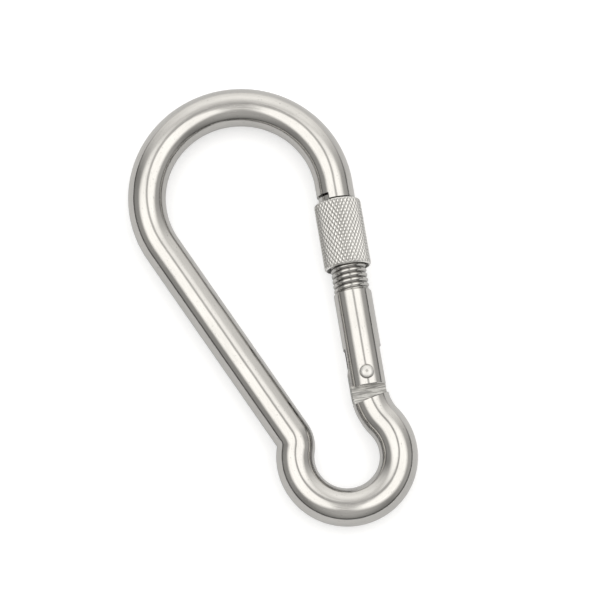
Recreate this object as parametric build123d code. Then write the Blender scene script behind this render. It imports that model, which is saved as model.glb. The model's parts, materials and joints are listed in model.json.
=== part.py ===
from build123d import *
import os
from math import asin, cos, radians, sin, sqrt

# A snap hook bent from round stainless bar, with a sprung gate and a screw-lock nut.
# It lies flat: +Z is square to the plane of the hook, +Y runs from the small eye to the
# big bow, and the gate is on the +X side. Everything is in millimetres.

# --- hook body ---------------------------------------------------------------------
bar_d = 10.0            # round bar that the hook is bent from
bow_r = 24.8            # bend of the big bow, at the middle of the bar
eye_r = 13.5            # bend of the small eye, at the middle of the bar
centre_gap = 75.2       # bow centre to eye centre
leg_offset = 8.6        # how far the line of each leg passes from the eye's centre
back_crease_r = 0.6     # inside radius of the tight bend where the back leg meets the eye
neck_inside_r = 9.0     # inside radius of the bend below the hinge
hinge_rise = 20.6       # hinge axis above the foot of the gate's line, beside the eye

# --- hinge -------------------------------------------------------------------------
tang_t = 4.0            # flat tang that stands in the gate's slot
tang_play = 0.15        # side play of the tang in the slot, each side
tang_inset = 0.6        # the tang's outer edge, set in from the side of the bar
rivet_d = 3.0           # hinge rivet
rivet_head_d = 3.6      # peened heads of the rivet
rivet_head_h = 0.7      # height of a head from its seat to its crown
rivet_head_rise = 0.25  # how far a head stands out of the gate
rivet_dimple_d = 0.7    # punch mark in the crown of a head
rivet_play = 0.05       # radial running clearance of the rivet in the tang
cheek_drop = 3.4        # gate's lower end below the hinge axis
cheek_corner_r = 2.4    # rounded inner corner of that end, which swings past the neck
shoulder_gap = 2.8      # from the gate's lower end to the shoulder of the body
shoulder_slant = 12.0   # the shoulder falls away towards its inner side, in degrees
slot_rise = 7.4         # slot's top above the hinge axis
open_angle = 30.0       # how far the gate opens, inwards

# --- gate --------------------------------------------------------------------------
gate_d = bar_d          # smooth part of the gate, level with the bar
thread_step = 0.3       # from the smooth part down to the thread's crests
thread_show = 6.6       # thread that shows below the nut
thread_pitch = 1.35
thread_depth = 0.45
thread_crest = 0.35     # flat on each crest

# --- closing spring and plunger ------------------------------------------------------
plunger_d = 4.6
plunger_l = 5.0         # straight part, above its round nose
plunger_play = 0.1      # radial clearance in the bore
plunger_rate = 3.0      # plunger travel for each radian of gate swing
cam_r = 5.0             # tang's top above the hinge axis, below the plunger
cam_gap = 0.05          # clearance between nose and tang
spigot_d = 2.3          # end of the plunger that centres the spring
spigot_l = 1.8
bore_top = 24.0         # end of the plunger's bore above the hinge axis
spring_wire = 0.6
spring_d = 4.3          # over the coils
spring_turns = 8.5

# --- lock nut ----------------------------------------------------------------------
nut_l = 18.0
nut_wall = 1.0          # wall of the nut around its upper recess
nut_chamfer = 0.6
nut_lead_in = 0.5       # countersink at the mouth of the threaded bore
nut_play = 0.05         # radial clearance on the thread's crests
nut_lift = 3.0          # travel up, over the end of the body
nut_reach_play = 0.2    # radial clearance of the upper recess around the bar
recess_spare = 0.3      # recess deeper than its travel needs

# --- where the gate meets the end of the body ----------------------------------------
end_straight = 5.1      # straight end of the body, below the bow
end_lift = 0.4          # body's end above the nut's upper rim
end_gap = 0.4           # between the body's end and the gate's end
toe_flat = 2.0          # the step lies this far inwards of the gate's middle
toe_gap = 0.1           # between the toe and the step, as closed
notch_rise = 1.7        # height of the notch that takes the toe
toe_top_gap = 0.35      # above the toe

# --- worked out from the sizes above -------------------------------------------------
bar_r = bar_d / 2
lean = asin((bow_r - leg_offset) / centre_gap)
thread_d = gate_d - 2 * thread_step
nut_d = bar_d + 2 * (nut_reach_play + nut_wall)
mid_z = nut_d / 2
length = centre_gap + bow_r + eye_r + bar_d
eye_y = -length / 2 + eye_r + bar_r
bow_y = eye_y + centre_gap
back_bend_r = bar_r + back_crease_r
neck_bend_r = bar_r + neck_inside_r
bow_rise = sqrt(centre_gap ** 2 - (bow_r - leg_offset) ** 2) - hinge_rise
body_end = bow_rise - end_straight
nut_top = body_end - end_lift
nut_bottom = nut_top - nut_l
smooth_rise = nut_bottom - thread_show
gate_end = body_end - end_gap
notch_end = body_end + notch_rise
toe_end = notch_end - toe_top_gap
shoulder = -(cheek_drop + shoulder_gap)
slot_w = tang_t + 2 * tang_play
rivet_seat = gate_d / 2 + rivet_head_rise - rivet_head_h
nose_r = plunger_d / 2
nose_rest = cam_r + cam_gap + nose_r
plunger_top = nose_rest + plunger_l
recess_floor = body_end - nut_lift - recess_spare
margin = 2.0            # how far a cutting tool runs past what it cuts

eye_centre = Vector(0, eye_y, mid_z)
bow_centre = Vector(0, bow_y, mid_z)
gate_out = Vector(cos(lean), -sin(lean), 0)
gate_up = Vector(sin(lean), cos(lean), 0)
back_out = Vector(-cos(lean), -sin(lean), 0)
back_up = Vector(-sin(lean), cos(lean), 0)
hinge = eye_centre + gate_out * leg_offset + gate_up * hinge_rise

# The gate's own frame: origin on the hinge axis, x outwards, y up the gate, z square to the hook.
gate_frame = Plane(origin=hinge, x_dir=gate_out, z_dir=(0, 0, 1)).location


def along_gate(shape):
    """Place a shape that was drawn in the gate's own frame."""
    return shape.moved(gate_frame)


def rod(diameter, start, end):
    """Round rod along the gate, between two heights above the hinge axis."""
    height = end - start
    upright = Cylinder(diameter / 2, height, align=(Align.CENTER, Align.CENTER, Align.MIN))
    return Pos(0, start, 0) * Rot(-90, 0, 0) * upright


def slab(x_range, y_range, z_range):
    """Block between two limits along each axis of the gate's frame."""
    spans = [high - low for low, high in (x_range, y_range, z_range)]
    middle = [(low + high) / 2 for low, high in (x_range, y_range, z_range)]
    return Pos(*middle) * Box(*spans)


def bend_into_eye(out, up, bend_r):
    """Bend that turns a straight leg into the eye: its start, middle and end."""
    rise = sqrt((eye_r + bend_r) ** 2 - (leg_offset + bend_r) ** 2)
    centre = eye_centre + out * (leg_offset + bend_r) + up * rise
    start = centre - out * bend_r
    end = eye_centre + (centre - eye_centre).normalized() * eye_r
    middle = centre + ((start + end) * 0.5 - centre).normalized() * bend_r
    return start, middle, end


def bar_path():
    """Middle line of the bar, from its free end round the bow and the eye to the tang."""
    free_end = hinge + gate_up * body_end
    bow_start = bow_centre + gate_out * bow_r
    bow_top = bow_centre + Vector(0, bow_r, 0)
    bow_finish = bow_centre + back_out * bow_r
    back_start, back_middle, back_end = bend_into_eye(back_out, back_up, back_bend_r)
    neck_start, neck_middle, neck_end = bend_into_eye(gate_out, gate_up, neck_bend_r)
    eye_bottom = eye_centre - Vector(0, eye_r, 0)
    tang_tip = hinge + gate_up * slot_rise
    return Wire([
        Line(free_end, bow_start),
        ThreePointArc(bow_start, bow_top, bow_finish),
        Line(bow_finish, back_start),
        ThreePointArc(back_start, back_middle, back_end),
        ThreePointArc(back_end, eye_bottom, neck_end),
        ThreePointArc(neck_end, neck_middle, neck_start),
        Line(neck_start, tang_tip),
    ])


def cam_point(swing):
    """Point of the tang's top that the plunger's nose meets when the gate has swung so far.

    The nose's centre draws a spiral about the hinge, and the tang's top is that spiral
    set in by the nose's radius and a small gap.
    """
    reach = nose_rest + plunger_rate * swing
    inset = (nose_r + cam_gap) / sqrt(reach ** 2 + plunger_rate ** 2)
    ahead = inset * plunger_rate
    out = reach * (1 - inset)
    return Vector(-out * sin(swing) - ahead * cos(swing), out * cos(swing) - ahead * sin(swing))


def tang_outline():
    """Side view of the tang, with its cam on top."""
    swings = [radians(angle) for angle in range(-15, int(open_angle) + 8, 4)]
    cam = Spline([cam_point(swing) for swing in swings])
    side = bar_r + margin
    outer_edge = bar_r - tang_inset
    foot = shoulder - bar_r
    inner_top = cam @ 1
    outer_top = cam @ 0
    sides = Polyline(
        (inner_top.X, inner_top.Y),
        (-side, inner_top.Y - side - inner_top.X),
        (-side, foot),
        (outer_edge, foot),
        (outer_edge, bar_r / 5),
        (outer_top.X, outer_top.Y),
    )
    return make_face([cam, sides])


def make_hook_body():
    """The bent bar, with its flat tang at the hinge and the notch at its free end."""
    path = bar_path()
    section = Plane(origin=path @ 0, z_dir=path % 0) * Circle(bar_r)
    body = sweep(section, path=path)
    wide = bar_r + margin
    tang_zone = slab((-wide, wide), (shoulder - wide, slot_rise + margin), (-wide, wide))
    above_shoulder = slab((-3 * wide, 3 * wide), (0, 4 * wide), (-wide, wide))
    tang_zone &= Pos(0, shoulder, 0) * Rot(0, 0, shoulder_slant) * above_shoulder
    tang = extrude(tang_outline(), amount=tang_t / 2, both=True)
    body -= along_gate(tang_zone - tang)
    body -= along_gate(Cylinder(rivet_d / 2 + rivet_play, bar_d))
    notch = slab((-wide, -toe_flat), (body_end - margin, notch_end), (-wide, wide))
    return body - along_gate(notch)


def threaded_rod(start, end):
    """Rod with ring grooves of a thread's form, cut from the upper end downwards."""
    turns = int((end - start) / thread_pitch)
    crest_r = thread_d / 2
    root_r = crest_r - thread_depth
    outline = [(0, start), (crest_r, start)]
    first = end - turns * thread_pitch
    for turn in range(turns):
        low = first + turn * thread_pitch
        outline.append((crest_r, low))
        outline.append((root_r, low + (thread_pitch - thread_crest) / 2))
        outline.append((crest_r, low + thread_pitch - thread_crest))
    outline += [(crest_r, end), (0, end)]
    return revolve(make_face(Polyline(outline, close=True)), axis=Axis.Y)


def make_gate():
    """Gate: slotted cheeks, smooth grip, thread, and the toe that closes on the body."""
    cheeks = rod(gate_d, -cheek_drop, smooth_rise)
    side = gate_d / 2 + margin
    corner = Pos(-gate_d / 2 + cheek_corner_r, -cheek_drop + cheek_corner_r, 0)
    corner_block = slab(
        (-side, -gate_d / 2 + cheek_corner_r),
        (-cheek_drop - margin, -cheek_drop + cheek_corner_r),
        (-side, side),
    )
    cheeks -= corner_block - corner * Cylinder(cheek_corner_r, 4 * side)
    toe = rod(thread_d, gate_end - margin, toe_end)
    toe &= slab((-side, -toe_flat - toe_gap), (gate_end - margin, toe_end), (-side, side))
    body = cheeks + threaded_rod(smooth_rise, gate_end) + toe
    half_slot = slot_w / 2
    body -= slab((-side, side), (-cheek_drop - margin, slot_rise), (-half_slot, half_slot))
    body -= rod(plunger_d + 2 * plunger_play, slot_rise - margin, bore_top)
    body -= Cylinder(rivet_d / 2, gate_d + 2 * margin)
    for facing in (1, -1):
        seat_middle = facing * (rivet_seat + margin)
        body -= Pos(0, 0, seat_middle) * Cylinder(rivet_head_d / 2, 2 * margin)
    return along_gate(body)


def make_hinge_rivet():
    """Rivet with a low domed head at each end, and a punch mark in each crown."""
    crown = rivet_seat + rivet_head_h
    edge = rivet_seat + rivet_head_h * 0.4
    dimple_r = rivet_dimple_d / 2
    half = make_face([
        Line((0, 0), (rivet_d / 2, 0)),
        Line((rivet_d / 2, 0), (rivet_d / 2, rivet_seat)),
        Line((rivet_d / 2, rivet_seat), (rivet_head_d / 2, rivet_seat)),
        Line((rivet_head_d / 2, rivet_seat), (rivet_head_d / 2, edge)),
        TangentArc((rivet_head_d / 2, edge), (dimple_r, crown), tangent=(-0.35, 1)),
        Line((dimple_r, crown), (0, crown - dimple_r)),
        Line((0, crown - dimple_r), (0, 0)),
    ])
    upper = revolve(Plane.XZ * half, axis=Axis.Z)
    return along_gate(upper + mirror(upper, about=Plane.XY))


def make_closing_plunger():
    """Pin with a round nose that presses on the tang, and a spigot for the spring."""
    straight = rod(plunger_d, nose_rest, plunger_top)
    nose = Pos(0, nose_rest, 0) * Sphere(nose_r)
    spigot = rod(spigot_d, plunger_top, plunger_top + spigot_l)
    return along_gate(straight + nose + spigot)


def make_closing_spring():
    """Coil spring between the plunger and the end of the bore."""
    coil_r = (spring_d - spring_wire) / 2
    height = bore_top - plunger_top - spring_wire
    coil = Helix(height / spring_turns, height, coil_r)
    section = Plane(origin=coil @ 0, z_dir=coil % 0) * Circle(spring_wire / 2)
    upright = sweep(section, path=coil, is_frenet=True)
    return along_gate(Pos(0, plunger_top + spring_wire / 2, 0) * Rot(-90, 0, 0) * upright)


def make_lock_nut():
    """Long round nut: bore on the thread, and a recess that slides over the body's end."""
    outer_r = nut_d / 2
    bore_r = thread_d / 2 + nut_play
    recess_r = bar_r + nut_reach_play
    section = [
        (bore_r, nut_bottom + nut_lead_in),
        (bore_r + nut_lead_in, nut_bottom),
        (outer_r - nut_chamfer, nut_bottom),
        (outer_r, nut_bottom + nut_chamfer),
        (outer_r, nut_top - nut_chamfer),
        (outer_r - nut_chamfer, nut_top),
        (recess_r, nut_top),
        (recess_r, recess_floor),
        (bore_r, recess_floor),
    ]
    return along_gate(revolve(make_face(Polyline(section, close=True)), axis=Axis.Y))


pieces = {
    "hook_body": make_hook_body(),
    "gate": make_gate(),
    "hinge_rivet": make_hinge_rivet(),
    "closing_plunger": make_closing_plunger(),
    "closing_spring": make_closing_spring(),
    "lock_nut": make_lock_nut(),
}

os.makedirs("parts", exist_ok=True)
for name, piece in pieces.items():
    export_step(piece, f"parts/{name}.step")
    box = piece.bounding_box()
    print(f"{name}: {piece.volume:.1f} mm3, {box.min} to {box.max}")
print("hinge axis at", hinge, "gate direction", gate_up)
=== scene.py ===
"""Looks of a steel snap hook with a screw-lock nut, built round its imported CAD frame.

The hook lies flat: +Z is square to its plane, +Y runs from the small eye to the big bow, and the
gate is on the +X side. Shapes are worked out in millimetres and put into meshes in metres.
"""

import json
import logging
import math
from dataclasses import dataclass, field
from enum import Enum
from typing import Any, Iterable, Sequence

import bpy
import numpy as np
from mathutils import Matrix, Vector

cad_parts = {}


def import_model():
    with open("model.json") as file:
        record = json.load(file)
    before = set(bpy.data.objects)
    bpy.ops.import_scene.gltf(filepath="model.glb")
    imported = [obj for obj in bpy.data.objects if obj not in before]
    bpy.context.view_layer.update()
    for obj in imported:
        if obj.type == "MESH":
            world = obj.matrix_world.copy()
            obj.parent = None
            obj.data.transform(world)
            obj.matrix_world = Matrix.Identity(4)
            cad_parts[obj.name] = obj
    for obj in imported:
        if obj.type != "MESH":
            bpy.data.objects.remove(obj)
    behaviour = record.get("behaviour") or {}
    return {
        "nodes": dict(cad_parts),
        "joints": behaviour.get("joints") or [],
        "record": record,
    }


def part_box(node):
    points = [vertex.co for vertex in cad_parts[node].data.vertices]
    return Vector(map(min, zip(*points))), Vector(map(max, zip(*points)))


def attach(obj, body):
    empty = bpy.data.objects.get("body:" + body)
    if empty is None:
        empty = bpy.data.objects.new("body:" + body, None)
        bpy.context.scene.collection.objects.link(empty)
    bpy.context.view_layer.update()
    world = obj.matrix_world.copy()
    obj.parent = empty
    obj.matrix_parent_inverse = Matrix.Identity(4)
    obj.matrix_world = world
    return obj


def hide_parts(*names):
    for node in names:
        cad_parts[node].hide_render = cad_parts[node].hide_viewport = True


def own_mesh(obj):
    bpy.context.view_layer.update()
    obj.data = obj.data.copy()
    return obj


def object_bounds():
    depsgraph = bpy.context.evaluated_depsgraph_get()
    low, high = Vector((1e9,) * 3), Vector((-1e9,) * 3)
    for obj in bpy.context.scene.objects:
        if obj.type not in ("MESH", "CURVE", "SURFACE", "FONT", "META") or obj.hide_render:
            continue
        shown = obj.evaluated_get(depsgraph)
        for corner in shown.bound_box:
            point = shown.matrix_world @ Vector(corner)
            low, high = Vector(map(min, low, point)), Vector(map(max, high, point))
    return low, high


frame: dict[str, Any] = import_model()
cad_box: tuple[Vector, Vector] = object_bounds()

log = logging.getLogger("snap_hook")

MM = 0.001                  # one millimetre in metres
WELD = 1e-5                 # points this close, in millimetres, are one point
CREASE = math.radians(32)   # faces that meet at more than this keep a sharp edge
GRAIN = "grain"             # point attribute: millimetres along the bar, across it, and up
# The recess attribute paints shade into grooves and bores, and makes them rougher.
RECESS = "recess"           # point attribute: 0 on a crest, 1 at the bottom of a groove


# --- surfaces ----------------------------------------------------------------------------


@dataclass
class Shell:
    """A closed surface: points in millimetres, four-cornered faces, and what each point carries."""

    points: np.ndarray
    faces: np.ndarray
    grain: np.ndarray
    recess: np.ndarray

    def welded(self) -> "Shell":
        """Merge equal points, and drop the faces and face corners that collapse with them.

        Returns:
            The same surface without doubled points, its faces turned outwards.
        """
        keys = np.round(self.points / WELD).astype(np.int64)
        _, first, index = np.unique(keys, axis=0, return_index=True, return_inverse=True)
        points = self.points[first]
        faces = index.reshape(-1)[self.faces]
        collapsed = faces == np.roll(faces, -1, axis=1)
        keep = collapsed.sum(axis=1) < 2
        faces, collapsed = faces[keep], collapsed[keep]
        turn = np.where(collapsed.any(axis=1), collapsed.argmax(axis=1) + 1, 0)
        faces = np.take_along_axis(faces, (turn[:, None] + np.arange(4)) % 4, axis=1)
        corners = points[faces]
        normals = np.cross(corners[:, 2] - corners[:, 0], corners[:, 3] - corners[:, 1])
        solid = np.linalg.norm(normals, axis=1) > WELD ** 2
        faces, corners, normals = faces[solid], corners[solid], normals[solid]
        if np.einsum("ij,ij->", corners.mean(axis=1), normals) < 0:
            faces = np.roll(faces[:, ::-1], 1, axis=1)
            ends = faces[:, 0] == faces[:, 1]
            faces[ends] = np.roll(faces[ends], -1, axis=1)
        return Shell(points, faces, self.grain[first], self.recess[first])


def grid_faces(rows: int, columns: int) -> np.ndarray:
    """Faces of a grid that is closed round its columns and open at its first and last row.

    Args:
        rows: How many rings of points there are.
        columns: How many points each ring has.

    Returns:
        Indices of the four corners of each face, one face a line.
    """
    row, column = np.meshgrid(np.arange(rows - 1), np.arange(columns), indexing="ij")
    after = (column + 1) % columns
    corners = (row * columns + column, row * columns + after,
               (row + 1) * columns + after, (row + 1) * columns + column)
    return np.stack(corners, axis=-1).reshape(-1, 4)


def shell_of(grid: np.ndarray, grain: np.ndarray, recess: np.ndarray | None = None) -> Shell:
    """Make a closed surface from rings whose first and last ring shrink to a point.

    Args:
        grid: Points as (ring, place on the ring, xyz).
        grain: What the brushed finish follows, with the same shape.
        recess: Depth in the grooves from 0 to 1 as (ring, place on the ring), or None for none.

    Returns:
        The welded surface.
    """
    rows, columns = grid.shape[:2]
    deep = np.zeros((rows, columns)) if recess is None else recess
    shell = Shell(grid.reshape(-1, 3), grid_faces(rows, columns), grain.reshape(-1, 3), deep.reshape(-1))
    return shell.welded()


def circle(count: int) -> np.ndarray:
    """Evenly spaced angles round a full turn, without the last, which is the first again."""
    return np.arange(count) * (2 * math.pi / count)


def steps(start: float, end: float, spacing: float) -> np.ndarray:
    """Evenly spaced values from start to end, both among them, no further apart than spacing."""
    return np.linspace(start, end, max(2, math.ceil(abs(end - start) / spacing) + 1))


def smooth(value: np.ndarray) -> np.ndarray:
    """Ease from 0 to 1 as the value goes from 0 to 1: three squares less two cubes."""
    t = np.clip(value, 0, 1)
    return t * t * (3 - 2 * t)


@dataclass(frozen=True)
class GateLine:
    """The gate's own axes: origin on the hinge, x outwards, y up the gate, z square to the hook."""

    hinge: np.ndarray
    out: np.ndarray
    up: np.ndarray

    @classmethod
    def from_joints(cls, joints: Sequence[dict[str, Any]]) -> "GateLine":
        """Read the hinge's place and the gate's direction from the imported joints.

        Args:
            joints: The frame's joints.

        Returns:
            The gate's axes, in millimetres.
        """
        found = {joint["name"]: joint for joint in joints}
        hinge = np.array(found["gate_hinge"]["pos_m"], float) / MM
        up = np.array(found["lock_nut_travel"]["axis"], float)
        up /= np.linalg.norm(up)
        return cls(hinge, np.cross(up, (0, 0, 1)), up)

    def place(self, shell: Shell) -> Shell:
        """Move a surface from the gate's axes to the frame's.

        Args:
            shell: The surface, in the gate's axes.

        Returns:
            The same surface in the frame's axes, with no change to what it carries.
        """
        axes = np.stack((self.out, self.up, np.array((0.0, 0.0, 1.0))))
        return Shell(self.hinge + shell.points @ axes, shell.faces, shell.grain, shell.recess)

    def span(self, node: str) -> tuple[float, float]:
        """Measure a CAD node along the gate.

        Args:
            node: The node's name.

        Returns:
            Its lowest and highest place above the hinge axis.
        """
        mesh = frame["nodes"][node].data
        points = np.empty(len(mesh.vertices) * 3, np.float32)
        mesh.vertices.foreach_get("co", points)
        heights = (points.reshape(-1, 3) / MM - self.hinge) @ self.up
        return float(heights.min()), float(heights.max())


def turned(profile: np.ndarray, columns: int) -> Shell:
    """Turn a profile round the gate's line: the point (r, y) goes to (r cos a, y, r sin a).

    Args:
        profile: Distance from the line and height along it, one point a row, pole to pole.
        columns: How many points go round.

    Returns:
        The closed surface, with a grain that runs along the line.
    """
    angle = circle(columns)[None, :]
    radius, height = profile[:, :1], profile[:, 1:]
    across, up = radius * np.cos(angle), -radius * np.sin(angle)
    along = np.broadcast_to(height, across.shape)
    return shell_of(np.stack((across, along, up), -1), np.stack((along, across, up), -1))


def block(x: Sequence[float], y: Sequence[float], z: Sequence[float]) -> Shell:
    """A box in the gate's axes, as a ring of four side faces and two ends.

    Args:
        x: The two limits outwards.
        y: The two limits along the gate.
        z: The two limits square to the hook.

    Returns:
        The closed surface.
    """
    middle = np.array([(x[0] + x[1]) / 2, (z[0] + z[1]) / 2])
    corner = np.array([(x[0], z[0]), (x[1], z[0]), (x[1], z[1]), (x[0], z[1])])
    rings = [(0, y[0]), (1, y[0]), (1, y[1]), (0, y[1])]
    flat = np.array([middle + (corner - middle) * size for size, _ in rings])
    height = np.array([[level] * 4 for _, level in rings])
    grid = np.stack((flat[..., 0], height, flat[..., 1]), -1)
    return shell_of(grid, grid[..., [1, 0, 2]])


# --- finishes ----------------------------------------------------------------------------


class Nodes:
    """Short ways to add and join the nodes of one material or world."""

    def __init__(self, tree: bpy.types.NodeTree) -> None:
        """Empty the tree, ready for new nodes."""
        self.tree = tree
        tree.nodes.clear()

    def add(self, kind: str, inputs: dict[str, Any] | None = None, **settings: Any) -> bpy.types.Node:
        """Add a node.

        Args:
            kind: The node's type, without its ShaderNode prefix.
            inputs: Values or output sockets for its inputs, by name or by number.
            settings: Its other properties.

        Returns:
            The new node.
        """
        node = self.tree.nodes.new(f"ShaderNode{kind}")
        for key, value in settings.items():
            setattr(node, key, value)
        for key, value in (inputs or {}).items():
            if isinstance(value, bpy.types.NodeSocket):
                self.tree.links.new(value, node.inputs[key])
            else:
                node.inputs[key].default_value = value
        return node

    def math(self, operation: str, *values: Any) -> bpy.types.NodeSocket:
        """Result of a Math node on these values or sockets."""
        return self.add("Math", dict(enumerate(values)), operation=operation).outputs[0]

    def ramp(self, value: bpy.types.NodeSocket, low: float, high: float,
             start: float = 0.0, end: float = 1.0) -> bpy.types.NodeSocket:
        """Ease a value from one range to another.

        Args:
            value: The socket to ease.
            low: Its value at the start.
            high: Its value at the end.
            start: The result at the start.
            end: The result at the end.

        Returns:
            The eased result.
        """
        inputs = {"Value": value, "From Min": low, "From Max": high, "To Min": start, "To Max": end}
        return self.add("MapRange", inputs, interpolation_type="SMOOTHSTEP").outputs[0]

    def noise(self, where: bpy.types.NodeSocket, stretch: Sequence[float], detail: float = 3.0,
              rough: float = 0.55) -> bpy.types.NodeSocket:
        """Noise that follows a place.

        Args:
            where: The place.
            stretch: How often the noise repeats along each axis, for each unit.
            detail: How many finer layers it has.
            rough: How strong each finer layer is.

        Returns:
            The noise, about 0.5 on average.
        """
        place = self.add("Mapping", {"Vector": where, "Scale": tuple(stretch)}).outputs[0]
        inputs = {"Vector": place, "Scale": 1.0, "Detail": detail, "Roughness": rough}
        return self.add("TexNoise", inputs).outputs[0]

    def bump(self, height: bpy.types.NodeSocket, depth: float, under: bpy.types.NodeSocket | None = None,
             sunk: bool = False) -> bpy.types.NodeSocket:
        """Relief of a given depth.

        Args:
            height: Its shape, from 0 to 1.
            depth: Its depth in millimetres.
            under: The relief that it lies on, or None for the bare surface.
            sunk: Whether it goes in and not out.

        Returns:
            The bent normal.
        """
        inputs: dict[str, Any] = {"Height": height, "Distance": depth * MM, "Strength": 1.0}
        if under is not None:
            inputs["Normal"] = under
        return self.add("Bump", inputs, invert=sunk).outputs[0]


@dataclass(frozen=True)
class SteelFinish:
    """Tumbled stainless steel: fine scratches along the bar, soft waves and a few small pits.

    A grain is how often a noise repeats in a millimetre along the bar, across it, and up.
    """

    name: str
    tint: tuple[float, float, float] = (0.535, 0.525, 0.508)
    roughness: float = 0.10
    roughness_spread: float = 0.06
    scratch_mm: float = 0.0024      # depth of the fine scratches along the grain
    wave_mm: float = 0.022          # depth of the soft waves left by bending and tumbling
    mottle: float = 0.22            # how far the tint wanders
    pit_share: float = 0.70         # noise level above which the surface is pitted
    # Painted shade: the tint is darkened towards the bottom of a groove, where shade falls.
    groove_painted_shade: float = 0.35       # how much darker the bottom of a groove is
    mill_mm: float = 0.0            # depth of cutter marks across the grain
    mill_noise: tuple[float, float] = (0.40, 0.62)      # noise at a mark's floor and at its crest
    mill_shade: tuple[float, float] = (0.62, 1.25)      # and the tint's share there
    streak_shade: float = 0.20      # how far the scratches change the tint
    streak_rough: float = 0.08      # and the roughness
    pit_mm: float = 0.006
    pit_edge: float = 0.035         # noise from a pit's rim to its floor
    pit_dark: float = 0.22
    pit_rough: float = 0.15
    groove_rough: float = 0.12
    cloud_grain: tuple[float, float, float] = (0.10, 0.22, 0.22)
    streak_grain: tuple[float, float, float] = (0.35, 7.0, 7.0)
    pit_grain: tuple[float, float, float] = (2.6, 3.4, 3.4)
    wave_grain: tuple[float, float, float] = (0.16, 0.30, 0.30)
    mill_grain: tuple[float, float, float] = (3.2, 0.35, 0.12)

    def material(self) -> bpy.types.Material:
        """Build the node material of this finish.

        Returns:
            The material, which reads the piece's grain and recess attributes.
        """
        made = bpy.data.materials.new(self.name)
        made.use_nodes = True
        nodes = Nodes(made.node_tree)
        grain = nodes.add("Attribute", attribute_name=GRAIN).outputs["Vector"]
        recess = nodes.add("Attribute", attribute_name=RECESS).outputs["Fac"]
        cloud = nodes.noise(grain, self.cloud_grain)
        streak = nodes.noise(grain, self.streak_grain, detail=4.0, rough=0.65)
        speck = nodes.noise(grain, self.pit_grain, detail=1.5, rough=0.4)
        wave = nodes.noise(grain, self.wave_grain, detail=2.0)
        marks = nodes.noise(grain, self.mill_grain) if self.mill_mm else None
        pit = nodes.ramp(speck, self.pit_share, self.pit_share + self.pit_edge)

        shade = nodes.math("MULTIPLY_ADD", cloud, self.mottle, 1.0 - self.mottle / 2)
        shade = nodes.math("MULTIPLY_ADD", streak, self.streak_shade,
                           nodes.math("SUBTRACT", shade, self.streak_shade / 2))
        shade = nodes.math("MULTIPLY", shade, nodes.math("MULTIPLY_ADD", pit, -self.pit_dark, 1.0))
        # Painted shade: darker towards the bottom of grooves and on the nut's bore walls.
        shade = nodes.math("MULTIPLY", shade, nodes.math("MULTIPLY_ADD", recess, -self.groove_painted_shade, 1.0))
        if marks is not None:
            shade = nodes.math("MULTIPLY", shade, nodes.ramp(marks, *self.mill_noise, *self.mill_shade))
        colour = nodes.add("VectorMath", {0: self.tint, "Scale": shade}, operation="SCALE").outputs[0]

        rough = nodes.math("MULTIPLY_ADD", cloud, self.roughness_spread,
                           self.roughness - self.roughness_spread / 2)
        rough = nodes.math("MULTIPLY_ADD", streak, self.streak_rough,
                           nodes.math("SUBTRACT", rough, self.streak_rough / 2))
        rough = nodes.math("MULTIPLY_ADD", pit, self.pit_rough, rough)
        rough = nodes.math("MULTIPLY_ADD", recess, self.groove_rough, rough)

        relief = nodes.bump(wave, self.wave_mm)
        relief = nodes.bump(streak, self.scratch_mm, under=relief)
        relief = nodes.bump(pit, self.pit_mm, under=relief, sunk=True)
        if marks is not None:
            relief = nodes.bump(marks, self.mill_mm, under=relief)
        shader = nodes.add("BsdfPrincipled", {"Base Color": colour, "Metallic": 1.0, "Roughness": rough,
                                              "Normal": relief})
        nodes.add("OutputMaterial", {"Surface": shader.outputs[0]})
        return made


class Finish(Enum):
    """The finishes on this hook."""

    BENT_BAR = SteelFinish("bent_bar_steel")
    # The milled tang is rougher, and its tint is darkened to paint the shade of its recess under the bar.
    MILLED_FLAT_SHADED = SteelFinish("milled_flat_shaded_steel", tint=(0.42, 0.415, 0.40), roughness=0.30, mill_mm=0.10,
                              wave_mm=0.004)
    GATE = SteelFinish("turned_gate_steel", wave_mm=0.008, groove_painted_shade=0.70)
    RIVET = SteelFinish("rivet_steel", roughness=0.18, wave_mm=0.01)
    KNURL = SteelFinish("knurled_nut_steel", tint=(0.84, 0.83, 0.805), roughness=0.27, wave_mm=0.004,
                        groove_painted_shade=0.60)
    PLUNGER = SteelFinish("plunger_steel", roughness=0.2)
    SPRING = SteelFinish("spring_steel", tint=(0.56, 0.55, 0.53), roughness=0.22)

    def dress(self) -> bpy.types.Material:
        """The material of this finish, made the first time that it is asked for."""
        return bpy.data.materials.get(self.value.name) or self.value.material()


def new_piece(name: str, body: str, node: str,
              parts: Iterable[tuple[Shell, Finish]]) -> bpy.types.Object:
    """Make one piece out of closed surfaces and put it in the place of its CAD node.

    Args:
        name: The piece's name.
        body: The CAD body that it rides on.
        node: The CAD node that it stands for.
        parts: Surfaces in the frame's axes, each with its finish.

    Returns:
        The new object, at the origin, with its place in its mesh.
    """
    piece = mesh_object(name, parts)
    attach(piece, body)
    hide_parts(node)
    return piece


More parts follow.
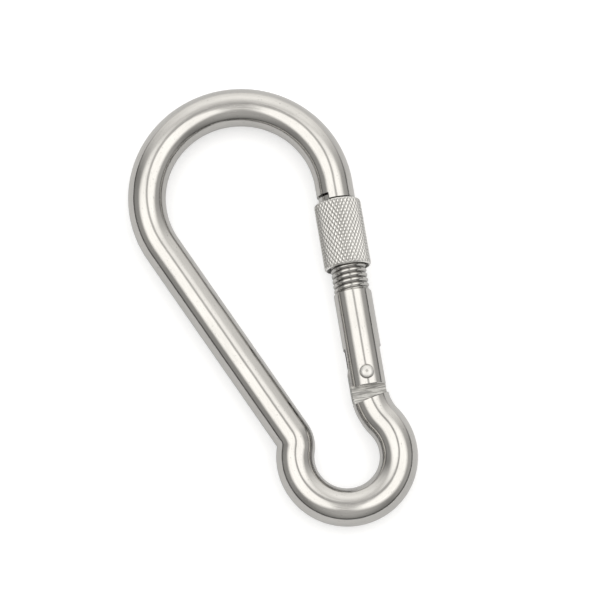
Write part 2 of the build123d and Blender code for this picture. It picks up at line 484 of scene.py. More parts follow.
def mesh_object(name: str, parts: Iterable[tuple[Shell, Finish]]) -> bpy.types.Object:
    """Join closed surfaces into one mesh object with their finishes and point attributes.

    Args:
        name: The object's name.
        parts: Surfaces in the frame's axes, each with its finish.

    Returns:
        The new object.
    """
    parts = list(parts)
    finishes = list(dict.fromkeys(finish for _, finish in parts))
    starts = np.cumsum([0] + [len(shell.points) for shell, _ in parts])
    faces: list[list[int]] = []
    slots: list[int] = []
    for (shell, finish), start in zip(parts, starts):
        three = shell.faces[:, 3] == shell.faces[:, 0]
        faces += (shell.faces[~three] + start).tolist() + (shell.faces[three, :3] + start).tolist()
        slots += [finishes.index(finish)] * len(shell.faces)
    mesh = bpy.data.meshes.new(name)
    mesh.from_pydata(np.concatenate([shell.points for shell, _ in parts]) * MM, [], faces)
    mesh.polygons.foreach_set("material_index", slots)
    grain = mesh.attributes.new(GRAIN, "FLOAT_VECTOR", "POINT")
    grain.data.foreach_set("vector", np.concatenate([s.grain for s, _ in parts]).astype(np.float32).ravel())
    recess = mesh.attributes.new(RECESS, "FLOAT", "POINT")
    recess.data.foreach_set("value", np.concatenate([s.recess for s, _ in parts]).astype(np.float32))
    for finish in finishes:
        mesh.materials.append(finish.dress())
    crease_edges(mesh)
    made = bpy.data.objects.new(name, mesh)
    bpy.context.scene.collection.objects.link(made)
    return made


def crease_edges(mesh: bpy.types.Mesh) -> None:
    """Shade a mesh smooth, and keep its real edges sharp.

    Args:
        mesh: The mesh to shade.
    """
    mesh.update()
    mesh.shade_smooth()
    mesh.set_sharp_from_angle(angle=CREASE)


def cut(piece: bpy.types.Object, tools: Iterable[Shell]) -> None:
    """Take closed surfaces away from a piece, one after another, and keep the result as its mesh.

    Args:
        piece: The object to cut, which keeps its name and materials.
        tools: The surfaces to take away, in the frame's axes.
    """
    for shell in tools:
        tool = mesh_object(f"{piece.name}_tool", [(shell, Finish.GATE)])
        tool.data.materials.clear()
        step = piece.modifiers.new("cut", "BOOLEAN")
        step.operation = "DIFFERENCE"
        step.solver = "EXACT"
        step.object = tool
        evaluated = piece.evaluated_get(bpy.context.evaluated_depsgraph_get())
        done = bpy.data.meshes.new_from_object(evaluated)
        piece.modifiers.clear()
        piece.data = done
        bpy.data.objects.remove(tool)
    piece.data.name = piece.name
    crease_edges(piece.data)


# --- the hook's body -----------------------------------------------------------------------


@dataclass
class HookBody:
    """The bent bar: a free end, the bow, the back leg, the eye, the neck and the flat tang."""

    line: GateLine
    nut_top: float
    columns: int = 96
    spacing: float = 0.32           # from one ring to the next along the bar
    back_crease_r: float = 0.6      # inside radius of the tight bend where the back leg meets the eye
    neck_inside_r: float = 9.0
    end_lift: float = 0.4           # body's end above the nut's upper rim
    notch_rise: float = 1.7         # height of the notch that takes the toe
    toe_flat: float = 2.0
    edge: float = 0.16              # broken edge at each end of the bar
    rise_step: float = 0.25         # from one ring to the next in the notch and up the tang's side
    floor_step: float = 0.02        # over which the notch's floor is crossed
    clear: float = 0.1              # from a ring that a feature needs to the next one
    shoulder: float = -6.2
    shoulder_slant: float = math.radians(12)
    ramp: float = 0.16              # shoulder's fall for each millimetre up or down from the middle
    slant_reach: float = 3.6        # length of bar over which the rings turn to that slant
    tang_columns: int = 160
    tang_t: float = 4.0
    tang_outer: float = 4.4
    tang_top: float = 5.0
    tang_sink: float = 2.5          # tang's foot below the shoulder, inside the bar
    skin: float = 0.02              # tang's round side, under the bar's
    rivet_hole_r: float = 1.55
    bar_r: float = field(init=False)
    bow_r: float = field(init=False)
    eye_r: float = field(init=False)
    leg_offset: float = field(init=False)
    neck_r: float = field(init=False)
    neck_y: float = field(init=False)
    neck_short: float = field(init=False)

    def __post_init__(self) -> None:
        """Work the bar's size and bends out of the CAD node's box and the record's mounts."""
        low, high = (np.array(corner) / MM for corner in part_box("hook_body"))
        mounts = {mount["name"]: np.array(mount["pos_m"], float) / MM for mount in self.mounts()}
        self.eye, self.bow = mounts["eye"], mounts["bow"]
        self.bar_r = (high[2] - low[2]) / 2
        self.bow_r = high[1] - self.bow[1] - self.bar_r
        self.eye_r = self.eye[1] - low[1] - self.bar_r
        self.leg_offset = self.bow_r - (self.bow[1] - self.eye[1]) * self.line.up[0]
        neck, self.neck_r = self.bend(1, self.neck_inside_r)
        self.neck_y = float((neck - self.line.hinge[:2]) @ self.line.up[:2])
        self.neck_short = math.asin((self.neck_y - self.shoulder) / self.neck_r)

    @staticmethod
    def mounts() -> list[dict[str, Any]]:
        """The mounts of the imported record."""
        return frame["record"]["mounts"]

    def bend(self, side: float, inside_r: float) -> tuple[np.ndarray, float]:
        """Centre and radius of the bend that turns a leg into the eye.

        Args:
            side: 1 for the gate's side, -1 for the back leg.
            inside_r: Radius at the inside of the bend.

        Returns:
            The bend's centre as (x, y), and its radius at the middle of the bar.
        """
        radius = self.bar_r + inside_r
        out, up = self.line.out[:2] * (side, 1), self.line.up[:2] * (side, 1)
        rise = math.sqrt((self.eye_r + radius) ** 2 - (self.leg_offset + radius) ** 2)
        return self.eye[:2] + out * (self.leg_offset + radius) + up * rise, radius

    def middle_line(self) -> tuple[np.ndarray, np.ndarray]:
        """Middle line of the bar, from its free end round the bow and the eye to the shoulder.

        Straight runs joined by tangent arcs: a point of an arc is its centre plus its radius
        times (cos a, sin a), and the outward side is to the right of the way along. The shoulder
        comes before the end of the neck's bend, so that arc stops short.

        Returns:
            Points of the line and the outward direction at each, both as (x, y).
        """
        out, up = self.line.out[:2], self.line.up[:2]
        back_out = out * (-1, 1)
        hinge, eye, bow = self.line.hinge[:2], self.eye[:2], self.bow[:2]
        lean = math.atan2(up[0], up[1])
        back, back_r = self.bend(-1, self.back_crease_r)
        neck, neck_r = self.bend(1, self.neck_inside_r)
        to_back = math.atan2(*(back - eye)[::-1])
        to_neck = math.atan2(*(neck - eye)[::-1]) + 2 * math.pi
        legs = (
            self.run(hinge + up * (self.nut_top + self.end_lift), bow + out * self.bow_r),
            self.arc(bow, self.bow_r, -lean, math.pi + lean),
            self.run(bow + back_out * self.bow_r, back - back_out * back_r),
            self.arc(back, back_r, lean, to_back - math.pi),
            self.arc(eye, self.eye_r, to_back, to_neck),
            self.arc(neck, neck_r, to_neck - math.pi, math.pi - lean + self.neck_short),
        )
        points = np.concatenate([leg[0] for leg in legs])
        outward = np.concatenate([leg[1] for leg in legs])
        fresh = np.r_[True, np.linalg.norm(np.diff(points, axis=0), axis=1) > 0.01]
        return points[fresh], outward[fresh]

    def run(self, start: np.ndarray, end: np.ndarray) -> tuple[np.ndarray, np.ndarray]:
        """Follow a straight line.

        Args:
            start: Where it starts, as (x, y).
            end: Where it ends.

        Returns:
            Its points, and the outward direction at each.
        """
        length = float(np.linalg.norm(end - start))
        share = steps(0, 1, self.spacing / length)[:, None]
        way = (end - start) / length
        return start + (end - start) * share, np.broadcast_to((way[1], -way[0]), (len(share), 2))

    def arc(self, centre: np.ndarray, radius: float, start: float,
            end: float) -> tuple[np.ndarray, np.ndarray]:
        """Follow an arc.

        Args:
            centre: Its centre, as (x, y).
            radius: Its radius at the middle of the bar.
            start: The angle that it starts at.
            end: The angle that it ends at, less than the start in a bend the other way.

        Returns:
            Its points, and the outward direction at each.
        """
        outer = radius + self.bar_r if end < start else radius
        angle = steps(start, end, self.spacing / outer)[:, None]
        spoke = np.hstack((np.cos(angle), np.sin(angle)))
        return centre + radius * spoke, spoke * (1 if end > start else -1)

    def bar(self) -> Shell:
        """The bar: a circle carried along the middle line, with the notch and both end faces.

        A ring's point is the middle line plus (size r cos a) outwards plus (size r sin a) up.
        In the notch, what would lie further in than the step's face is drawn out to it. Each
        end shrinks to its middle, with a small broken edge. Near the shoulder a ring's points
        also move along the bar, in proportion to their place across it.

        Returns:
            The closed surface, in the frame's axes.
        """
        points, outward = self.middle_line()
        along = np.r_[0, np.cumsum(np.linalg.norm(np.diff(points, axis=0), axis=1))]
        blunt = 1 - self.edge / self.bar_r
        total = along[-1]
        place = np.concatenate((
            [0, 0, 0, self.edge],
            steps(self.edge, self.notch_rise, self.rise_step)[1:],
            [self.notch_rise + self.floor_step],
            along[(along > self.notch_rise + self.clear) & (along < total - self.edge - self.clear)],
            [total - self.edge, total, total, total],
        ))
        size = np.ones(len(place))
        size[:4] = 0, 0.5, blunt, 1
        size[-4:] = 1, blunt, 0.5, 0
        notched = place <= self.notch_rise
        middle = np.stack([np.interp(place, along, points[:, axis]) for axis in (0, 1)], -1)
        side = np.stack([np.interp(place, along, outward[:, axis]) for axis in (0, 1)], -1)
        side /= np.linalg.norm(side, axis=1, keepdims=True)
        angle = circle(self.columns) - math.pi / 2
        across = self.bar_r * size[:, None] * np.cos(angle)
        rise = self.bar_r * size[:, None] * np.sin(angle)
        across = np.where(notched[:, None], np.maximum(across, -self.toe_flat), across)
        near = smooth((place - total + self.slant_reach) / self.slant_reach)[:, None]
        slant = math.tan(self.shoulder_slant - self.neck_short)
        shift = near * (slant * across - self.ramp * np.abs(rise))
        way = np.stack((-side[:, 1], side[:, 0]), -1)
        flat = middle[:, None, :] + across[..., None] * side[:, None, :] + shift[..., None] * way[:, None, :]
        grid = np.concatenate((flat, (self.line.hinge[2] + rise)[..., None]), axis=-1)
        length = np.broadcast_to(place[:, None], across.shape)
        return shell_of(grid, np.stack((length, across, rise), -1))

    def tang(self) -> Shell:
        """The flat tang, as a washer round the rivet hole whose outer edge is the tang's outline.

        The inner side keeps to the round of the bar, which below the neck's centre is x = the
        neck's radius less the root of the reach squared less the drop squared. Rings go from
        the hole's upper edge out over the top, down the outer edge, back under and up the
        hole's wall.

        Returns:
            The closed surface, in the frame's axes.
        """
        angle = circle(self.tang_columns)
        run_x, run_y = np.cos(angle), np.sin(angle)
        reach = self.outline(run_x, run_y)
        half = self.tang_t / 2
        heights = np.concatenate(([half, half], steps(half, -half, self.rise_step), [-half, -half]))
        share = np.concatenate(([0, 0.5], np.ones(len(heights) - 4), [0.5, 0]))[:, None]
        radius = self.rivet_hole_r + (reach - self.rivet_hole_r) * share
        x, y = radius * run_x, radius * run_y
        reach_in = self.neck_r + np.sqrt(self.bar_r ** 2 - heights ** 2)[:, None]
        drop = np.minimum(y - self.neck_y, 0)
        round_x = self.neck_r - np.sqrt(reach_in ** 2 - drop ** 2)
        x = np.maximum(x, round_x + self.skin)
        z = np.broadcast_to(heights[:, None], x.shape)
        grid = np.stack((x, y, z), -1)
        closed = np.concatenate((grid, grid[:1]))
        return self.line.place(shell_of(closed, closed[..., [1, 0, 2]]))

    def outline(self, run_x: np.ndarray, run_y: np.ndarray) -> np.ndarray:
        """Distance from the hinge to the tang's outline along each direction.

        Below the hinge it is the nearer of an upright side and the foot, which is sunk in the
        bar, and above it is the cam's arc, no further out than the sides.

        Args:
            run_x: Cosine of each direction's angle from outwards.
            run_y: Its sine.

        Returns:
            The distance along each direction.
        """
        depth = self.tang_sink - self.shoulder
        side = np.where(run_x > 0, self.tang_outer, self.bar_r)
        to_side = side / np.maximum(np.abs(run_x), 1e-9)
        to_foot = np.where(run_y < 0, depth / np.maximum(-run_y, 1e-9), self.tang_top)
        return np.minimum(to_side, to_foot)

    def build(self) -> bpy.types.Object:
        """Make the body out of its bar and its tang.

        Returns:
            The piece.
        """
        parts = ((self.bar(), Finish.BENT_BAR), (self.tang(), Finish.MILLED_FLAT_SHADED))
        return new_piece("bent_hook_body", "body", "hook_body", parts)


# --- the gate ------------------------------------------------------------------------------


@dataclass
class Gate:
    """The gate: slotted cheeks, the smooth grip, the thread, and the toe that closes on the body."""

    line: GateLine
    bar_r: float
    nut_bottom: float
    nut_top: float
    columns: int = 144
    cheek_corner_r: float = 2.4
    slot_rise: float = 7.4
    slot_w: float = 4.3
    bore_r: float = 2.4
    bore_top: float = 24.0
    rivet_r: float = 1.5
    rivet_seat_r: float = 1.95
    rivet_seat: float = 4.45
    past: float = 2.0               # how far a cutting surface runs past what it cuts
    bore_columns: int = 72
    edge: float = 0.14
    foot_zone: float = 3.2          # height of the foot's close rings, over its rounded corner
    foot_step: float = 0.16         # from one of them to the next
    grip_step: float = 0.6          # and above them
    face_step: float = 0.2          # from one ring of the foot's flat face to the next
    shoulder_chamfer: float = 0.45
    thread_show: float = 6.6
    thread_r: float = 4.7
    thread_pitch: float = 1.35
    thread_depth: float = 0.45
    thread_flank: float = 0.72      # share of a turn that is not crest
    thread_rows: int = 16           # rings to each turn of the thread
    thread_sink: float = 0.4        # thread's start, inside the grip
    groove_shade: float = 1.5       # the groove's dark bottom is 1 over this of its depth
    # Painted shade: the groove's darkened bottom is 1 over this of its depth.
    run_out: float = 0.5            # over which the thread fades in and out
    toe_flat: float = 2.1
    toe_edge: float = 0.2
    toe_sink: float = 1.0           # toe's start, inside the thread
    toe_columns: int = 96

    def __post_init__(self) -> None:
        """Read the gate's ends from its CAD node."""
        self.foot, self.toe_end = self.line.span("gate")
        self.smooth_top = self.nut_bottom - self.thread_show

    def grip(self) -> Shell:
        """The smooth part as a turned rod, its lower inner corner rounded.

        Where a point lies inwards of the corner's centre, its height is at least that of the
        corner's arc there: the arc's centre less the root of its radius squared less the
        distance in squared.

        Returns:
            The closed surface, in the frame's axes.
        """
        chamfer = self.shoulder_chamfer
        levels = np.concatenate((
            steps(self.foot + self.edge, self.foot + self.foot_zone, self.foot_step),
            steps(self.foot + self.foot_zone, self.smooth_top - chamfer, self.grip_step)[1:],
        ))
        inner = steps(0, self.bar_r - self.edge, self.face_step)
        profile = np.concatenate((
            np.stack((inner, np.full(len(inner), self.foot)), -1),
            np.stack((np.full(len(levels), self.bar_r), levels), -1),
            [(self.bar_r - chamfer, self.smooth_top), (0, self.smooth_top)],
        ))
        rod = turned(profile, self.columns)
        corner_x = -self.bar_r + self.cheek_corner_r
        past = np.clip(corner_x - rod.points[:, 0], 0, self.cheek_corner_r)
        floor = self.foot + self.cheek_corner_r - np.sqrt(self.cheek_corner_r ** 2 - past ** 2)
        rod.points[:, 1] = np.maximum(rod.points[:, 1], floor)
        rod.grain[:, 0] = rod.points[:, 1]
        return self.line.place(rod.welded())

    def thread(self) -> Shell:
        """The threaded rod, hollow at its foot for the spring.

        At angle a and height y its radius is the root plus the depth times a V of the turn
        count y / pitch - a / one turn, flattened at the crest, and fading out at both ends.
        The rings climb with the thread, so that each crest lies along a line of the grid.

        Returns:
            The closed surface, in the frame's axes.
        """
        root = self.thread_r - self.thread_depth
        last = self.nut_top - self.edge
        rows = math.ceil((self.nut_top - self.smooth_top) / self.thread_pitch + 1) * self.thread_rows
        angle = circle(self.columns)[None, :]
        turns = np.arange(rows + 1)[:, None] / self.thread_rows
        climb = self.smooth_top - self.thread_pitch + turns * self.thread_pitch
        height = climb + self.thread_pitch * angle / (2 * math.pi)
        height = np.clip(height, self.smooth_top, last)
        phase = (height - self.smooth_top) / self.thread_pitch - angle / (2 * math.pi)
        vee = np.minimum(np.abs(2 * (phase - np.floor(phase)) - 1) / self.thread_flank, 1)
        from_end = np.minimum(height - self.smooth_top, last - height)
        radius = root + self.thread_depth * vee * smooth(from_end / self.run_out)
        foot = self.smooth_top - self.thread_sink
        before = np.array([(0, self.bore_top), (self.bore_r, self.bore_top), (self.bore_r, foot),
                           (root, foot)])
        after = np.array([(root, last), (root - self.edge, self.nut_top), (0, self.nut_top)])
        radius = np.concatenate([np.repeat(before[:, :1], self.columns, 1), radius,
                                 np.repeat(after[:, :1], self.columns, 1)])
        height = np.concatenate([np.repeat(before[:, 1:], self.columns, 1), height,
                                 np.repeat(after[:, 1:], self.columns, 1)])
        # Depth in the groove, which the finish turns into painted shade and roughness.
        deep = np.clip(1 - self.groove_shade * vee, 0, 1)
        recess = np.concatenate([np.zeros((len(before), self.columns)), deep,
                                 np.zeros((len(after), self.columns))])
        x, z = radius * np.cos(angle), -radius * np.sin(angle)
        faces = self.climbing_faces(len(before), rows + 1, len(after))
        grid = np.stack((x, height, z), -1).reshape(-1, 3)
        grain = np.stack((height, x, z), -1).reshape(-1, 3)
        return self.line.place(Shell(grid, faces, grain, recess.reshape(-1)).welded())

    def climbing_faces(self, before: int, turns: int, after: int) -> np.ndarray:
        """Faces of rings of which the middle ones climb, so that a ring's end meets a later ring.

        Args:
            before: Level rings before the climbing ones.
            turns: Climbing rings.
            after: Level rings after them.

        Returns:
            Indices of the four corners of each face.
        """
        total = before + turns + after
        row, column = np.meshgrid(np.arange(total - 1), np.arange(self.columns), indexing="ij")
        wraps = column == self.columns - 1
        climbs = (row >= before) & (row < before + turns - 1) & wraps
        after_column = np.where(wraps, 0, column + 1)
        last = before + turns - 1
        lower = np.where(climbs, np.minimum(row + self.thread_rows, last), row)
        upper = np.where(climbs, np.minimum(row + 1 + self.thread_rows, last), row + 1)
        size = self.columns
        corners = (row * size + column, lower * size + after_column,
                   upper * size + after_column, (row + 1) * size + column)
        return np.stack(corners, axis=-1).reshape(-1, 4)

    def toe(self) -> Shell:
        """The toe: the thread's round, cut flat on its outer side, with small broken edges.

        A ring's point is (size r cos a, size r sin a), drawn in to the flat, and to where the
        flat meets the round, if it lies further out.

        Returns:
            The closed surface, in the frame's axes.
        """
        angle = circle(self.toe_columns)[None, :]
        top, start = self.toe_end, self.nut_top - self.toe_sink
        levels = np.array([start, start, top - self.toe_edge, top, top])[:, None]
        size = np.array([0, 1, 1, 1 - self.toe_edge / self.thread_r, 0])[:, None]
        flat = self.toe_flat + (1 - size) * self.thread_r * (size > 0.5)
        centre = -(self.thread_r + self.toe_flat) / 2
        x = np.minimum(self.thread_r * size * np.cos(angle), -flat)
        reach = np.sqrt(np.maximum((self.thread_r * size) ** 2 - flat ** 2, 0))
        z = np.clip(-self.thread_r * size * np.sin(angle), -reach, reach)
        x = np.where(size == 0, centre, x)
        height = np.broadcast_to(levels, x.shape)
        return self.line.place(shell_of(np.stack((x, height, z), -1), np.stack((height, x, z), -1)))

    def tools(self) -> Iterable[Shell]:
        """What is cut out of the grip: the slot, the plunger's bore, the rivet's hole and its seats.

        Yields:
            Closed surfaces, in the frame's axes.
        """
        wide = self.bar_r + self.past
        half = self.slot_w / 2
        slot = block((-wide, wide), (self.foot - self.past, self.slot_rise), (-half, half))
        yield self.line.place(slot)
        start, top = self.slot_rise - self.past, self.smooth_top + self.past / 2
        bore = np.array([(0, start), (self.bore_r, start), (self.bore_r, top), (0, top)])
        yield self.line.place(turned(bore, self.bore_columns))
        seat = np.array([(0, -wide), (self.rivet_seat_r, -wide), (self.rivet_seat_r, -self.rivet_seat),
                         (self.rivet_r, -self.rivet_seat), (self.rivet_r, self.rivet_seat),
                         (self.rivet_seat_r, self.rivet_seat), (self.rivet_seat_r, wide), (0, wide)])
        yield self.line.place(across_gate(turned(seat, self.bore_columns)))

    def build(self) -> bpy.types.Object:
        """Make the gate: cut the grip, then join the thread and the toe to it.

        Returns:
            The piece.
        """
        grip = mesh_object("gate_grip", [(self.grip(), Finish.GATE)])
        cut(grip, self.tools())
        piece = new_piece("screw_gate", "gate", "gate",
                          ((self.thread(), Finish.GATE), (self.toe(), Finish.GATE)))
        join_into(piece, grip)
        return piece


def across_gate(shell: Shell) -> Shell:
    """Turn a surface so that what ran along the gate runs square to the hook: (x, y, z) to (x, -z, y)."""
    swap = np.array(((1, 0, 0), (0, 0, 1), (0, -1, 0)), float)
    return Shell(shell.points @ swap, shell.faces, shell.grain @ swap, shell.recess)


def join_into(piece: bpy.types.Object, other: bpy.types.Object) -> None:
    """Add another object's mesh to a piece and remove that object.

    Args:
        piece: The object that grows.
        other: The object that is used up. Its finish is the same.
    """
    with bpy.context.temp_override(active_object=piece, selected_editable_objects=[piece, other]):
        bpy.ops.object.join()
    crease_edges(piece.data)


# --- the small parts -------------------------------------------------------------------------


@dataclass
class HingeRivet:
    """The hinge's rivet: a shank with a low domed head at each end and a punch mark in each crown."""

    line: GateLine
    shank_r: float = 1.5
    head_r: float = 1.8
    seat: float = 4.55
    rim: float = 4.62
    punch_r: float = 0.42
    punch_depth: float = 0.34
    roundness: float = 2.4          # power of the dome's curve: more than 2 is flatter on top
    row_step: float = 0.06
    columns: int = 96

    def build(self) -> bpy.types.Object:
        """Make the rivet by turning its profile round the hinge axis.

        A head's height is the rim plus the dome's rise times the root of one less the share of
        the head's radius to the power of its roundness, less the punch mark, which is a small
        eased hollow.

        Returns:
            The piece.
        """
        _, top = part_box("hinge_rivet")
        crown = top[2] / MM - self.line.hinge[2]
        radius = steps(0, self.head_r, self.row_step)
        fall = (radius / self.head_r) ** self.roundness
        dome = self.rim + (crown - self.rim) * np.sqrt(np.maximum(1 - fall, 0))
        dome -= self.punch_depth * (1 - smooth(radius / self.punch_r))
        head = np.stack((radius, dome), -1)
        half = np.concatenate((head, [(self.head_r, self.seat), (self.shank_r, self.seat),
                                      (self.shank_r, 0)]))
        lower = half[::-1] * (1, -1)
        rivet = turned(np.concatenate((half, lower[1:])), self.columns)
        shell = self.line.place(across_gate(rivet))
        return new_piece("domed_hinge_rivet", "gate", "hinge_rivet", ((shell, Finish.RIVET),))


@dataclass
class ClosingSet:
    """The round-nosed plunger that presses on the tang's cam, and the coil spring behind it."""

    line: GateLine
    plunger_r: float = 2.3
    spigot_r: float = 1.15
    spigot_l: float = 1.8
    edge: float = 0.2
    wire_r: float = 0.3
    coil_r: float = 1.85
    coils: float = 8.5
    travel: float = 1.6             # of the plunger, over the gate's whole swing
    columns: int = 64
    nose_step: float = 0.1          # radians from one ring of the nose to the next
    wire_columns: int = 16
    turn_step: float = 0.14         # radians from one ring of the wire to the next

    def build_plunger(self) -> bpy.types.Object:
        """Turn the plunger: half a ball for its nose, a straight part, a shoulder and a spigot.

        Returns:
            The piece.
        """
        low, high = self.line.span("closing_plunger")
        angle = steps(-math.pi / 2, 0, self.nose_step)
        nose = np.stack((self.plunger_r * np.cos(angle),
                         low + self.plunger_r * (1 + np.sin(angle))), -1)
        shoulder = high - self.spigot_l
        rest = [(self.plunger_r, shoulder - self.edge), (self.plunger_r - self.edge, shoulder),
                (self.spigot_r, shoulder), (self.spigot_r, high - self.edge),
                (self.spigot_r - self.edge, high), (0, high)]
        shell = self.line.place(turned(np.concatenate((nose, rest)), self.columns))
        return new_piece("round_nose_plunger", "plunger", "closing_plunger",
                         ((shell, Finish.PLUNGER),))

    def build_spring(self) -> bpy.types.Object:
        """Carry a small circle along a helix, each end shrinking to the wire's middle.

        At turn t the wire's middle is at (R cos t, climb t, R sin t), and a point of its round
        is w cos a further out and w sin a further up.

        Returns:
            The piece.
        """
        low, high = self.line.span("closing_spring")
        turn = steps(0, self.coils * 2 * math.pi, self.turn_step)
        climb = low + self.wire_r + (high - low - 2 * self.wire_r) * turn / turn[-1]
        size = np.ones(len(turn) + 2)
        size[0] = size[-1] = 0
        turn = np.r_[turn[0], turn, turn[-1]][:, None]
        climb = np.r_[climb[0], climb, climb[-1]][:, None]
        angle = circle(self.wire_columns)[None, :]
        radius = self.coil_r + self.wire_r * size[:, None] * np.cos(angle)
        height = climb + self.wire_r * size[:, None] * np.sin(angle)
        grid = np.stack((radius * np.cos(turn), height, radius * np.sin(turn)), -1)
        grain = np.stack((np.broadcast_to(turn * self.coil_r, height.shape), radius, height), -1)
        shell = self.line.place(shell_of(grid, grain))
        piece = new_piece("gate_coil_spring", "gate", "closing_spring",
                          ((shell, Finish.SPRING),))
        tuple(self.line.up)
        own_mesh(piece)
        return piece


@dataclass
class LockNut:
    """The long round nut: diamond knurling outside, a plain bore, and a recess at its upper end."""

    line: GateLine
    bar_r: float
    columns: int = 432
    diamonds: int = 36              # round the nut
    diamond_l: float = 1.75         # length of a diamond along the nut
    knurl_depth: float = 0.25
    groove_slope: float = 1.45      # more than 1 leaves a flat between two cuts
    chamfer: float = 0.45
    lead_in: float = 0.75
    bore_r: float = 4.75
    recess_play: float = 0.2
    recess_depth: float = 2.7       # upper recess, below the rim
    row_step: float = 0.125

    def groove(self, phase: np.ndarray) -> np.ndarray:
        """Shape one family of cuts.

        Args:
            phase: How many cuts have been passed, a whole number at the bottom of a cut.

        Returns:
            0 at the bottom of a cut and 1 on the flat between two cuts.
        """
        away = 1 - np.abs(2 * (phase - np.floor(phase)) - 1)
        return np.minimum(away * self.groove_slope, 1)

    def build(self) -> bpy.types.Object:
        """Turn the nut, and press the knurl into its outside.

        The outer radius at angle a and height y is the nut's radius less the depth of the
        deeper of two families of V cuts, whose phases are n a / one turn plus and minus
        y / diamond length. The chamfers then limit it. The bore and the recess follow, and
        their walls count as deep in a groove, so they take its painted shade and roughness.

        Returns:
            The piece.
        """
        low, high = self.line.span("lock_nut")
        box_low, box_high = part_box("lock_nut")
        outer_r = (box_high[2] - box_low[2]) / MM / 2
        recess_r = self.bar_r + self.recess_play
        angle = circle(self.columns)[None, :]
        rows = steps(low, high, self.row_step)[:, None]
        first = self.diamonds * angle / (2 * math.pi) + rows / self.diamond_l
        second = self.diamonds * angle / (2 * math.pi) - rows / self.diamond_l
        pressed = np.minimum(self.groove(first), self.groove(second))
        knurled = outer_r - self.knurl_depth * (1 - pressed)
        from_end = np.minimum(rows - low, high - rows)
        limit = outer_r - self.chamfer + from_end
        radius = np.minimum(knurled, limit)
        # Depth in the knurl's grooves, which the finish turns into painted shade and roughness.
        recess = np.where(knurled < limit, 1 - pressed, 0)
        floor = high - self.recess_depth
        inside = np.array([(recess_r, high), (recess_r, floor), (self.bore_r, floor),
                           (self.bore_r, low + self.lead_in), (self.bore_r + self.lead_in, low)])
        radius = np.concatenate((radius, np.repeat(inside[:, :1], self.columns, 1), radius[:1]))
        height = np.concatenate((np.repeat(rows, self.columns, 1),
                                 np.repeat(inside[:, 1:], self.columns, 1),
                                 np.repeat(rows[:1], self.columns, 1)))
        # Painted shade: the bore and recess walls are darkened as a groove's bottom; the rim's top ring is
        # not.
        shaded = np.ones((len(inside), self.columns))
        shaded[0] = 0
        recess = np.concatenate((recess, shaded, recess[:1]))
        x, z = radius * np.cos(angle), -radius * np.sin(angle)
        shell = shell_of(np.stack((x, height, z), -1), np.stack((height, x, z), -1), recess)
        return new_piece("knurled_lock_nut", "lock_nut", "lock_nut",
                         ((self.line.place(shell), Finish.KNURL),))


# --- the studio ------------------------------------------------------------------------------


@dataclass(frozen=True)
class Lobe:
    """One soft patch of the surroundings, light or dark, seen from the hook."""

    azimuth: float                  # degrees round from the picture's right, towards its top
    zenith: float                   # degrees down from straight up
    inner: float                    # full strength within this many degrees of its middle
    outer: float                    # nothing beyond this many
    strength: float

    def direction(self) -> tuple[float, float, float]:
        """The way to the lobe's middle, in the camera's own horizontal axes."""
        a, z = math.radians(self.azimuth), math.radians(self.zenith)
        return math.sin(z) * math.cos(a), math.sin(z) * math.sin(a), math.cos(z)


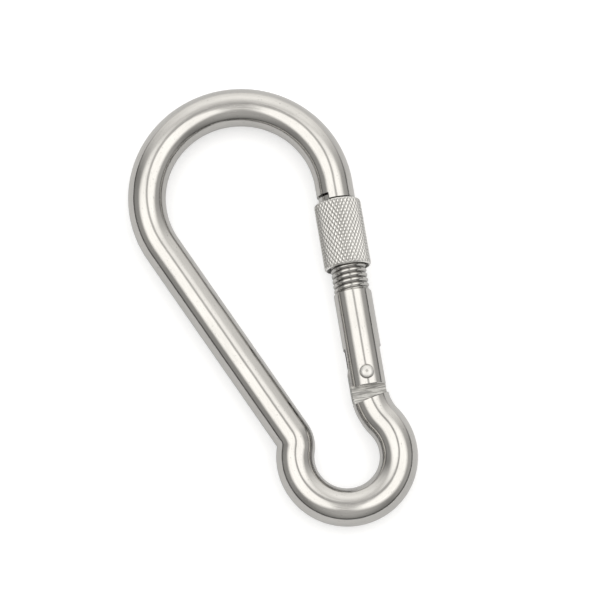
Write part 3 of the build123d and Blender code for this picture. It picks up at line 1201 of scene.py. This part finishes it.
@dataclass
class Studio:
    """A white floor, soft light all round that is dark near the horizon, and the camera."""

    azimuth: float = -21.77         # the camera's, in degrees, as for the frame's views
    elevation: float = 76.0
    distance: float = 1.25
    lens: float = 285.6
    aim: tuple[float, float, float] = (0.00421, 0.00035, 0.0062)
    floor_size: float = 3.0
    sheet: tuple[float, float, float, float] = (0.72, 0.724, 0.732, 1.0)
    sheet_glow: float = 0.05        # light from the sheet itself
    sheet_lift: float = 0.40        # and how much more of it the camera sees, to lift the shadow
    ambient: float = 0.34
    brightest: float = 1.85
    horizon: tuple[float, float] = (2.0, 13.0)      # degrees up, between which the dark horizon ends
    horizon_level: float = 0.22
    warm: tuple[float, float, float] = (1.0, 0.985, 0.955)
    bounce: Lobe = Lobe(88, 84, 20, 68, 0.95)       # the bright wall beyond the picture's top
    lobes: tuple[Lobe, ...] = (                     # soft lights overhead and to both sides
        Lobe(90, 15, 0, 60, 0.42),
        Lobe(356, 24, 14, 38, 1.30),
        Lobe(188, 24, 13, 35, 1.30),
        Lobe(0, 66, 0, 40, 0.26),
        Lobe(185, 60, 0, 34, 0.12),
        Lobe(272, 34, 0, 52, 0.30),
    )
    gaps: tuple[Lobe, ...] = (                      # gaps between them: strength is the share lost
        Lobe(90, 15, 3, 8, 0.50),
        Lobe(80, 7, 3, 8, 0.55),
        Lobe(300, 3, 3, 8, 0.52),
        Lobe(270, 13, 4, 9, 0.42),
        Lobe(270, 22, 4, 11, 0.25),
    )

    def back(self) -> Vector:
        """The way from the hook to the camera."""
        a, e = math.radians(self.azimuth), math.radians(self.elevation)
        return Vector((math.sin(a) * math.cos(e), -math.cos(a) * math.cos(e), math.sin(e)))

    def build_camera(self) -> bpy.types.Object:
        """Put the camera at its distance from the aim point, upright.

        Returns:
            The camera.
        """
        data = bpy.data.cameras.new("camera")
        data.lens = self.lens
        data.clip_start, data.clip_end = 0.05, 20
        camera = bpy.data.objects.new("camera", data)
        bpy.context.scene.collection.objects.link(camera)
        camera.location = Vector(self.aim) + self.back() * self.distance
        camera.rotation_euler = (-self.back()).to_track_quat("-Z", "Y").to_euler()
        bpy.context.scene.camera = camera
        return camera

    def build_floor(self) -> bpy.types.Object:
        """Lay a flat white sheet under the hook.

        Returns:
            The sheet.
        """
        low, _ = cad_box
        half = self.floor_size / 2
        mesh = bpy.data.meshes.new("floor")
        corners = [(-half, -half, low[2]), (half, -half, low[2]), (half, half, low[2]), (-half, half, low[2])]
        mesh.from_pydata(corners, [], [(0, 1, 2, 3)])
        paint = bpy.data.materials.new("white_sheet")
        paint.use_nodes = True
        nodes = Nodes(paint.node_tree)
        seen = nodes.add("LightPath").outputs["Is Camera Ray"]
        glow = nodes.math("MULTIPLY_ADD", seen, self.sheet_lift, self.sheet_glow)
        shader = nodes.add("BsdfPrincipled", {"Base Color": self.sheet, "Roughness": 0.9,
                                              "Specular IOR Level": 0.1, "Emission Color": (1, 1, 1, 1),
                                              "Emission Strength": glow})
        nodes.add("OutputMaterial", {"Surface": shader.outputs[0]})
        mesh.materials.append(paint)
        floor = bpy.data.objects.new("floor", mesh)
        bpy.context.scene.collection.objects.link(floor)
        return floor

    @staticmethod
    def share(nodes: Nodes, way: bpy.types.NodeSocket, lobe: Lobe) -> bpy.types.NodeSocket:
        """How much of a lobe's strength comes from a direction, eased by the cosine of the angle.

        Args:
            nodes: The world's nodes.
            way: The direction, in the camera's own horizontal axes.
            lobe: The lobe.

        Returns:
            1 near the lobe's middle, and 0 outside it.
        """
        near = nodes.add("VectorMath", {0: way, 1: lobe.direction()}, operation="DOT_PRODUCT")
        outer, inner = (math.cos(math.radians(angle)) for angle in (lobe.outer, lobe.inner))
        return nodes.ramp(near.outputs["Value"], outer, inner)

    def build_light(self) -> None:
        """Light the scene from all round.

        The light from a direction is the ambient level plus, for each lobe, its strength eased
        in by the cosine of the angle to its middle, up to a brightest level. The gaps between
        the lights and the dark horizon take a share of it away.
        """
        world = bpy.data.worlds.new("studio")
        world.use_nodes = True
        nodes = Nodes(world.node_tree)
        way = nodes.add("TexCoord").outputs["Generated"]
        turn = (0, 0, math.radians(-self.azimuth))
        way = nodes.add("Mapping", {"Vector": way, "Rotation": turn}, vector_type="POINT").outputs[0]
        level: Any = self.ambient
        for lobe in self.lobes:
            level = nodes.math("MULTIPLY_ADD", self.share(nodes, way, lobe), lobe.strength, level)
        level = nodes.math("MINIMUM", level, self.brightest)
        for gap in self.gaps:
            left = nodes.math("MULTIPLY_ADD", self.share(nodes, way, gap), -gap.strength, 1.0)
            level = nodes.math("MULTIPLY", level, left)
        height = nodes.add("SeparateXYZ", {0: way}).outputs[2]
        low, high = (math.sin(math.radians(angle)) for angle in self.horizon)
        level = nodes.math("MULTIPLY", level, nodes.ramp(height, low, high, self.horizon_level, 1.0))
        level = nodes.math("MULTIPLY_ADD", self.share(nodes, way, self.bounce), self.bounce.strength, level)
        light = nodes.add("Background", {"Color": (*self.warm, 1), "Strength": level})
        nodes.add("OutputWorld", {"Surface": light.outputs[0]})
        bpy.context.scene.world = world
        bpy.context.scene.view_settings.view_transform = "Standard"

    def build(self) -> None:
        """Build the camera, the floor and the light."""
        self.build_camera()
        self.build_floor()
        self.build_light()


def report(piece: bpy.types.Object) -> None:
    """Log a finished piece's name and size."""
    sides = " x ".join(f"{side / MM:.1f}" for side in piece.dimensions)
    log.info("%s: %d faces, %s mm", piece.name, len(piece.data.polygons), sides)


def main() -> None:
    """Build every sub-assembly in order."""
    logging.basicConfig(level=logging.INFO, format="%(name)s: %(message)s")
    Studio().build()
    line = GateLine.from_joints(frame["joints"])
    nut_bottom, nut_top = line.span("lock_nut")
    body = HookBody(line, nut_top)
    report(body.build())
    report(Gate(line, body.bar_r, nut_bottom, nut_top).build())
    report(HingeRivet(line).build())
    closing = ClosingSet(line)
    report(closing.build_plunger())
    report(closing.build_spring())
    report(LockNut(line, body.bar_r).build())
    bpy.context.view_layer.update()


if __name__ == "__main__":
    main()
